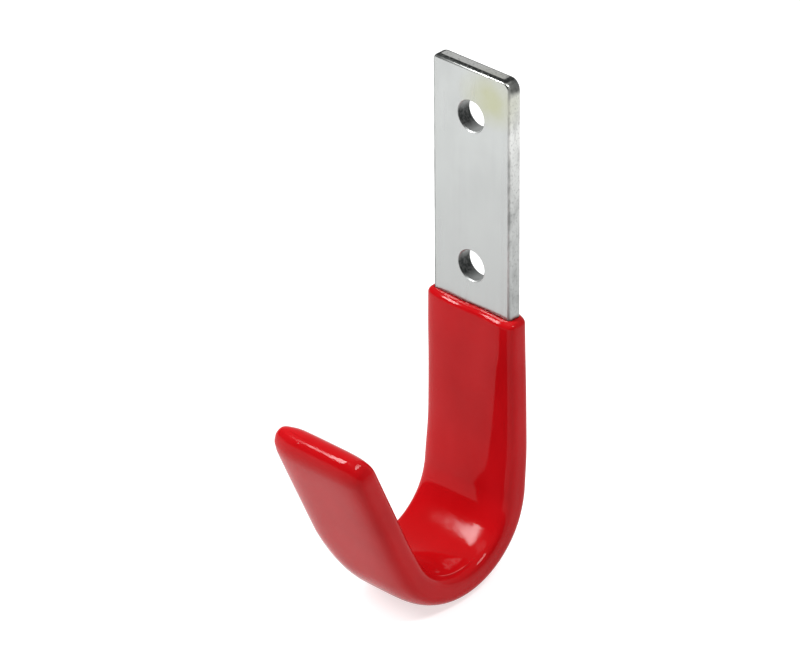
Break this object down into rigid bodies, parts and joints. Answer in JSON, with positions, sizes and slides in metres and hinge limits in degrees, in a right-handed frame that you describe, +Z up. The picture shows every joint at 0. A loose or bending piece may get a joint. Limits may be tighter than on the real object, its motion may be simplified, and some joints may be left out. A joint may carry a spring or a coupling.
{
  "type": "wall utility hook",
  "caption": "Flat steel bar bent into an open J with a rounded screw plate, its bend and arm dipped in glossy soft vinyl, for hanging tools and hoses on a wall.",
  "frame": {"origin": "on the back of the plate, midway between the two screw holes", "axes": "+Z up the wall, +Y into the wall, +X to the right of someone facing the wall; the hook opens towards -Y"},
  "size_m": [0.0236, 0.0504, 0.1088],
  "materials": {
    "zinc_plated_steel": "satin zinc plate",
    "red_vinyl": "glossy dipped vinyl"
  },
  "bodies": {
    "root": {"steel_hook": "zinc_plated_steel", "vinyl_coating": "red_vinyl"}
  },
  "joints": []
}
